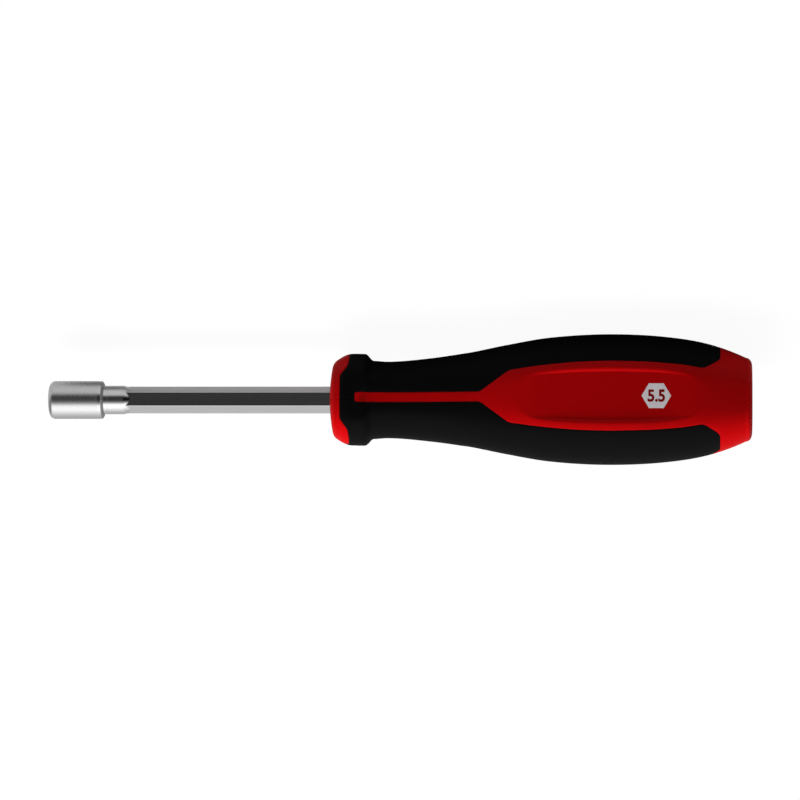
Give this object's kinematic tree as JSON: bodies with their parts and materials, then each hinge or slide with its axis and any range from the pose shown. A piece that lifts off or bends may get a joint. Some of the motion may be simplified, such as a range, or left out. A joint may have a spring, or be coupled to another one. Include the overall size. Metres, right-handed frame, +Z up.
{
  "type": "nut driver",
  "caption": "Nut driver with a hollow hexagonal shaft, a pressed-on hex socket and a three-lobed handle in hard plastic with a soft overmoulded grip.",
  "frame": {"origin": "centre of the socket's mouth, on the tool's axis", "axes": "+X along the tool's axis, out of the socket towards the work; +Z up, with one handle panel facing the floor"},
  "size_m": [0.19, 0.0352, 0.0335],
  "materials": {
    "satin_steel": "satin plated steel",
    "bright_steel": "bright plated steel",
    "core_plastic": "plain moulded",
    "red_plastic": "satin moulded",
    "black_grip": "matte soft-touch"
  },
  "bodies": {
    "root": {"drive_socket": "satin_steel", "hex_shaft": "bright_steel", "shaft_plug": "core_plastic", "inner_core": "core_plastic", "handle_shell": "red_plastic", "grip_sleeve": "black_grip"}
  },
  "joints": []
}
